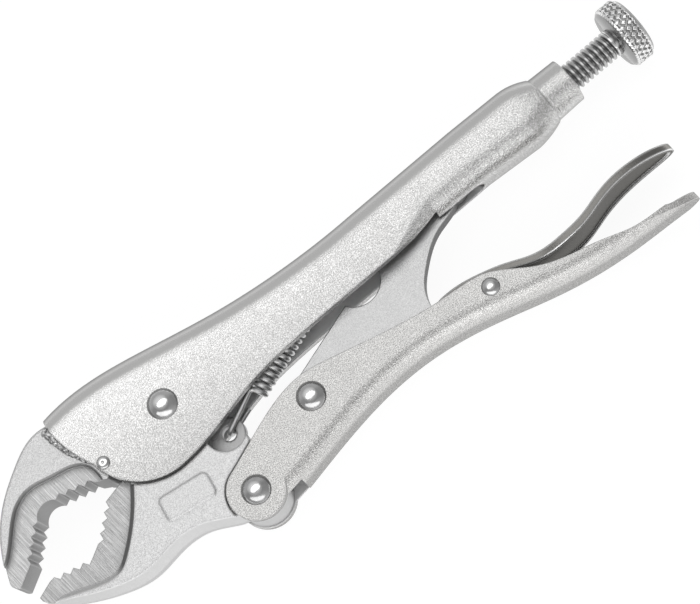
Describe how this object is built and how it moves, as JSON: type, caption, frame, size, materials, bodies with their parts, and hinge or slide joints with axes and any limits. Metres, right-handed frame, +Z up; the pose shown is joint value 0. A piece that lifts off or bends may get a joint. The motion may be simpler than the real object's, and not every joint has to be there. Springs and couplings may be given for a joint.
{
  "type": "locking pliers",
  "caption": "Locking pliers with curved toothed jaws, an over-centre toggle link, a knurled adjusting screw and a release lever.",
  "frame": {"origin": "under the middle of the tool's box, on the surface it lies on", "axes": "+X along the adjusting screw towards its head, +Y to the back of the fixed handle, +Z up, across the tool"},
  "size_m": [0.1722, 0.054, 0.0166],
  "materials": {
    "satin_nickel": "satin, fine blasted",
    "forged_steel": "satin, ground cheeks",
    "weld": "rough bead under plating",
    "polished_pin": "polished domes",
    "bright_screw": "bright plated",
    "spring_wire": "dark drawn wire"
  },
  "bodies": {
    "fixed_handle": {"handle_shell": "satin_nickel", "upper_jaw": "forged_steel", "jaw_weld": "weld", "jaw_lock_pin": "polished_pin", "jaw_pivot_rivet": "polished_pin"},
    "lower_jaw": {"lower_jaw": "forged_steel", "return_spring": "spring_wire"},
    "lower_handle": {"lower_handle": "satin_nickel", "handle_rivet": "polished_pin", "link_rivet": "polished_pin", "lever_rivet": "polished_pin"},
    "toggle_link": {"toggle_link": "satin_nickel"},
    "release_lever": {"release_lever": "satin_nickel"},
    "adjusting_screw": {"adjusting_screw": "bright_screw"}
  },
  "joints": [
    {"name": "jaw_pivot", "type": "hinge", "parent": "fixed_handle", "child": "lower_jaw", "pos_m": [-0.03902, 0.01136, 0.0083], "axis": [0, 0, 1], "range_deg": [0, 14.1], "deforming": ["return_spring"]},
    {"name": "handle_pivot", "type": "hinge", "parent": "lower_jaw", "child": "lower_handle", "pos_m": [-0.03532, -0.01515, 0.0083], "axis": [0, 0, 1], "range_deg": [-53.4, 0]},
    {"name": "link_pivot", "type": "hinge", "parent": "lower_handle", "child": "toggle_link", "pos_m": [-0.01482, -0.00764, 0.0083], "axis": [0, 0, 1], "range_deg": [0, 55.5]},
    {"name": "release_press", "type": "hinge", "parent": "lower_handle", "child": "release_lever", "pos_m": [0.02698, -0.01444, 0.0083], "axis": [0, 0, -1], "range_deg": [0, 8]},
    {"name": "screw_turn", "type": "hinge", "parent": "fixed_handle", "child": "adjusting_screw", "pos_m": [0.08093, 0.01035, 0.0083], "axis": [1, 0, 0], "continuous": true}
  ],
  "couplings": [
    {"joint": "jaw_pivot", "follows": "handle_pivot", "ratio": -0.2623},
    {"joint": "link_pivot", "follows": "handle_pivot", "ratio": -1.0359}
  ]
}
